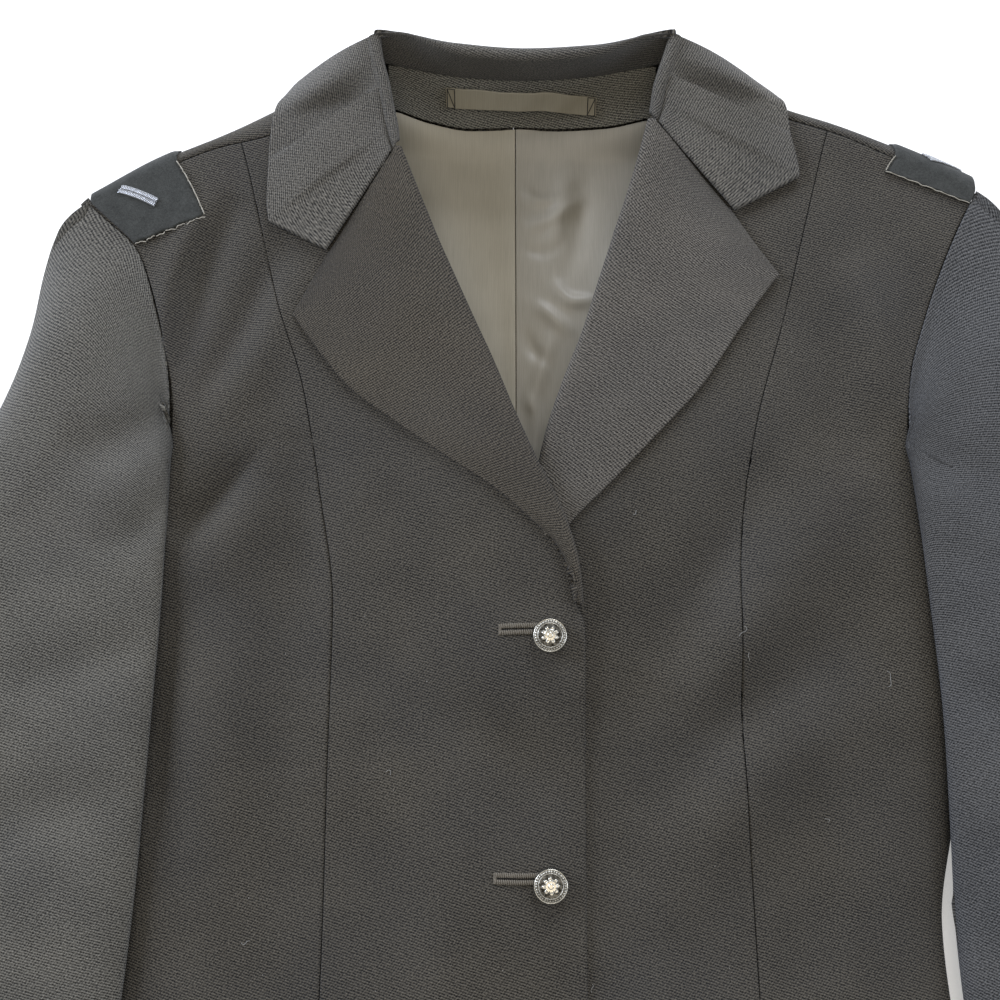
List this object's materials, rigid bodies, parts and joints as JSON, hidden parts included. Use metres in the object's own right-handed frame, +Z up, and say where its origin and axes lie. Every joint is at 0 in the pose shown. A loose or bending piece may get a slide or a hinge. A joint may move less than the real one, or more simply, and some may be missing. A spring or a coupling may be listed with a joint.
{
  "type": "ladies' uniform dress jacket laid flat on its back",
  "caption": "Dark wool uniform jacket with notched lapels, princess seams, set-in sleeves, shoulder patches with rank braid and domed silver buttons, laid flat on its back.",
  "frame": {"origin": "middle of the garment's bounding box, on the surface that it lies on", "axes": "+Z up off the surface, the way the jacket's front faces; +Y from hem to collar; +X towards the wearer's left sleeve"},
  "size_m": [0.6196, 0.6492, 0.054],
  "materials": {
    "wool": "matt charcoal wool twill",
    "satin": "grey-taupe satin lining with a soft sheen",
    "tape": "khaki-grey satin tape",
    "felt": "dark matt felt",
    "silver_braid": "woven silver-coloured braid",
    "button_metal": "silver-plated, slightly worn"
  },
  "bodies": {
    "root": {"front_right": "wool", "front_left": "wool", "side_front_right": "wool", "side_front_left": "wool", "back_right": "wool", "back_left": "wool", "top_sleeve_right": "wool", "top_sleeve_left": "wool", "under_sleeve_right": "wool", "under_sleeve_left": "wool", "collar": "wool", "lapel_right": "wool", "lapel_left": "wool", "neck_facing": "wool", "lining_right": "satin", "lining_left": "satin", "hanger_loop": "tape", "shoulder_patch_right": "felt", "shoulder_patch_left": "felt", "rank_bar_right": "silver_braid", "rank_bar_left": "silver_braid", "button_1": "button_metal", "button_2": "button_metal", "button_3": "button_metal"}
  },
  "joints": []
}
